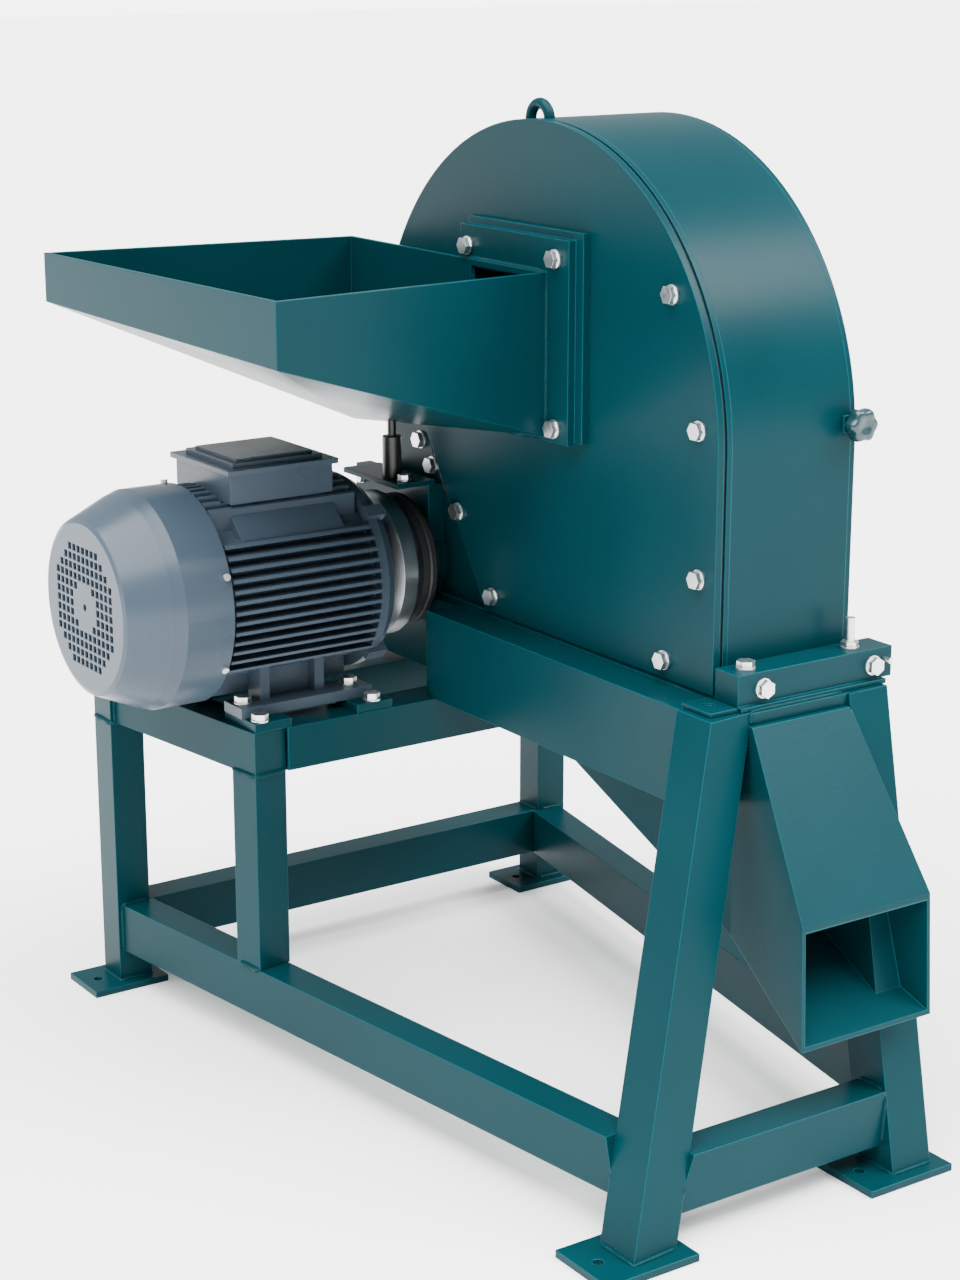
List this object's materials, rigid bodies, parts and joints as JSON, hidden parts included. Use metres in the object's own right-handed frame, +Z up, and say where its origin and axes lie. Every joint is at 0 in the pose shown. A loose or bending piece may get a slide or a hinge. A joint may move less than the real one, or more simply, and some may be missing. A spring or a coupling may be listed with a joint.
{
  "type": "hammer mill",
  "caption": "Hammer mill on a welded stand: motor and coupling, countershaft and belts, swing-hammer rotor in a round-topped housing, side feed tray and sloping outlet chute.",
  "frame": {"origin": "on the floor, under the middle of the bounding box", "axes": "+X towards the outlet chute, +Y from the motor fan towards the rear of the mill, +Z up"},
  "size_m": [0.964, 0.776, 1.0596],
  "materials": {
    "teal_paint": "satin dark teal paint",
    "motor_paint": "semi-gloss blue-grey paint",
    "zinc_plate": "bright zinc plate",
    "bright_steel": "turned steel",
    "mill_steel": "wear-resistant plate, mill finish",
    "cast_iron": "machined and blackened",
    "black_rubber": "matte",
    "black_paint": "satin black",
    "black_plastic": "matte"
  },
  "bodies": {
    "stand": {"foot_plates": "teal_paint", "leg_motor_front": "teal_paint", "leg_motor_rear": "teal_paint", "leg_chute_front": "teal_paint", "leg_chute_rear": "teal_paint", "post_middle": "teal_paint", "rail_front": "teal_paint", "rail_rear": "teal_paint", "rail_motor_end": "teal_paint", "rail_chute_end": "teal_paint", "platform_front_beam": "teal_paint", "platform_rear_beam": "teal_paint", "platform_end_beam": "teal_paint", "platform_cross_beams": "teal_paint", "motor_risers": "teal_paint", "main_beam_front": "teal_paint", "main_beam_rear": "teal_paint", "top_cross_bar": "teal_paint", "leg_pad": "teal_paint", "clamp_bar": "teal_paint", "clamp_bolts": "zinc_plate", "base_flange": "teal_paint", "housing_shell": "teal_paint", "housing_front_rim": "teal_paint", "housing_rear_plate": "teal_paint", "front_cover": "teal_paint", "cover_gasket": "black_rubber", "cover_bolts": "zinc_plate", "lifting_eye": "teal_paint", "liner": "mill_steel", "screen": "mill_steel", "rotor_bearing_housing": "teal_paint", "shaft_bearings": "bright_steel", "v_belts": "black_rubber", "belt_guard": "teal_paint", "bearing_pedestal": "teal_paint", "pedestal_bolts": "zinc_plate", "motor_frame": "motor_paint", "motor_shields": "motor_paint", "fan_cowl": "motor_paint", "terminal_box": "motor_paint", "motor_bolts": "zinc_plate", "hopper_tray": "teal_paint", "hopper_flanges": "teal_paint", "hopper_stay": "black_paint", "discharge_chute": "teal_paint"},
    "drive_line": {"motor_shaft_and_fan": "bright_steel", "coupling_halves": "bright_steel", "coupling_rubber": "black_rubber", "countershaft": "bright_steel", "drive_pulley": "cast_iron"},
    "rotor": {"rotor_shaft": "bright_steel", "rotor_discs": "mill_steel", "hammer_pins": "mill_steel", "rotor_pulley": "cast_iron"},
    "hammers_top_set": {"hammers_top": "mill_steel"},
    "hammers_right_set": {"hammers_right": "mill_steel"},
    "hammers_bottom_set": {"hammers_bottom": "mill_steel"},
    "hammers_left_set": {"hammers_left": "mill_steel"},
    "knob": {"star_knob": "black_plastic"}
  },
  "joints": [
    {"name": "motor_spin", "type": "hinge", "parent": "stand", "child": "drive_line", "pos_m": [-0.26, 0, 0.525], "axis": [0, 1, 0], "continuous": true},
    {"name": "rotor_spin", "type": "hinge", "parent": "stand", "child": "rotor", "pos_m": [-0.0243, 0, 0.745], "axis": [0, 1, 0], "continuous": true},
    {"name": "hammers_top_swing", "type": "hinge", "parent": "rotor", "child": "hammers_top_set", "pos_m": [-0.0243, 0.11, 0.869], "axis": [0, 1, 0], "continuous": true},
    {"name": "hammers_right_swing", "type": "hinge", "parent": "rotor", "child": "hammers_right_set", "pos_m": [0.0997, 0.11, 0.745], "axis": [0, 1, 0], "continuous": true},
    {"name": "hammers_bottom_swing", "type": "hinge", "parent": "rotor", "child": "hammers_bottom_set", "pos_m": [-0.0243, 0.11, 0.621], "axis": [0, 1, 0], "continuous": true},
    {"name": "hammers_left_swing", "type": "hinge", "parent": "rotor", "child": "hammers_left_set", "pos_m": [-0.1483, 0.11, 0.745], "axis": [0, 1, 0], "continuous": true},
    {"name": "knob_turn", "type": "hinge", "parent": "stand", "child": "knob", "pos_m": [0.2914, 0.209, 0.75], "axis": [1, 0, 0], "range_deg": [0, 360]}
  ],
  "couplings": [
    {"joint": "rotor_spin", "follows": "motor_spin", "ratio": 1.1111}
  ]
}
